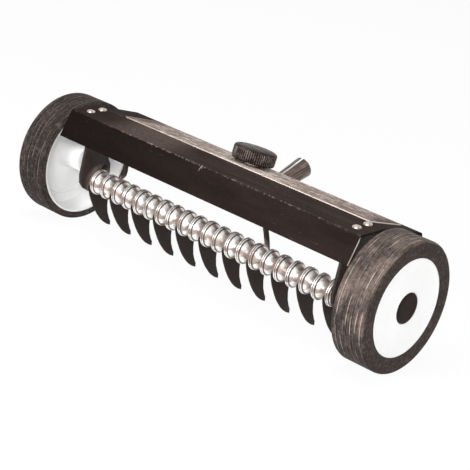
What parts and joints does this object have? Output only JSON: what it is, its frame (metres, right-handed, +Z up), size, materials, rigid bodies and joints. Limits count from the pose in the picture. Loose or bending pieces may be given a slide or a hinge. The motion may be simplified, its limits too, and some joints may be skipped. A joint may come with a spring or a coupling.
{
  "type": "rolling lawn aerator head",
  "caption": "Low wheeled head of a push aerator: a folded dark steel deck over curved tines and polished spacer beads on a cross shaft, with a clamp knob and a flared handle socket.",
  "frame": {"origin": "middle of the box's bottom face, on the floor under the head", "axes": "+X along the wheel axle, to the right seen from the front; +Y to the rear, where the handle goes in; +Z up"},
  "size_m": [0.4292, 0.1696, 0.1329],
  "materials": {
    "deck_paint": "dark brown-black paint, lightly scuffed along the folds",
    "label_foil": "dull taupe printed foil, left bare",
    "bracket_paint": "dark brown-black paint",
    "tine_black": "flat black, dusty",
    "spool_aluminium": "turned and polished",
    "zinc_steel": "zinc plated",
    "rivet_aluminium": "bare bright heads",
    "tyre_rubber": "dusty moulded rubber with worn streaks",
    "rim_plastic": "white moulding",
    "cap_plastic": "black moulding",
    "knob_plastic": "black moulding, ribbed edge",
    "socket_steel": "brown-black worn paint over steel"
  },
  "bodies": {
    "head": {"deck": "deck_paint", "label_plate": "label_foil", "bracket_left": "bracket_paint", "rivet_left_front": "rivet_aluminium", "rivet_left_rear": "rivet_aluminium", "shaft_nut_left": "zinc_steel", "wheel_axle_left": "zinc_steel", "axle_washer_left": "zinc_steel", "bracket_right": "bracket_paint", "rivet_right_front": "rivet_aluminium", "rivet_right_rear": "rivet_aluminium", "shaft_nut_right": "zinc_steel", "wheel_axle_right": "zinc_steel", "axle_washer_right": "zinc_steel", "tine_shaft": "zinc_steel", "tine_01": "tine_black", "tine_02": "tine_black", "tine_03": "tine_black", "tine_04": "tine_black", "tine_05": "tine_black", "tine_06": "tine_black", "tine_07": "tine_black", "tine_08": "tine_black", "tine_09": "tine_black", "tine_10": "tine_black", "tine_11": "tine_black", "spool_01": "spool_aluminium", "spool_02": "spool_aluminium", "spool_03": "spool_aluminium", "spool_04": "spool_aluminium", "spool_05": "spool_aluminium", "spool_06": "spool_aluminium", "spool_07": "spool_aluminium", "spool_08": "spool_aluminium", "spool_09": "spool_aluminium", "spool_10": "spool_aluminium", "spool_11": "spool_aluminium", "spool_12": "spool_aluminium", "spool_13": "spool_aluminium", "spool_14": "spool_aluminium", "spool_15": "spool_aluminium", "spool_16": "spool_aluminium", "spool_17": "spool_aluminium", "spool_18": "spool_aluminium", "spool_19": "spool_aluminium", "spool_20": "spool_aluminium", "spool_21": "spool_aluminium", "stay_left": "bracket_paint", "stay_right": "bracket_paint", "handle_socket": "socket_steel", "clamp_nut": "zinc_steel"},
    "wheel_left": {"tyre_left": "tyre_rubber", "rim_left": "rim_plastic", "hub_cap_left": "cap_plastic"},
    "wheel_right": {"tyre_right": "tyre_rubber", "rim_right": "rim_plastic", "hub_cap_right": "cap_plastic"},
    "clamp_knob": {"knob": "knob_plastic", "knob_stud": "zinc_steel"}
  },
  "joints": [
    {"name": "wheel_left_spin", "type": "hinge", "parent": "head", "child": "wheel_left", "pos_m": [-0.1977, -0.02477, 0.06], "axis": [1, 0, 0], "continuous": true},
    {"name": "wheel_right_spin", "type": "hinge", "parent": "head", "child": "wheel_right", "pos_m": [0.1977, -0.02477, 0.06], "axis": [1, 0, 0], "continuous": true},
    {"name": "knob_turn", "type": "hinge", "parent": "head", "child": "clamp_knob", "pos_m": [0, 0.00173, 0.11281], "axis": [0, 0.1673, 0.9859], "range_deg": [0, 720]}
  ]
}
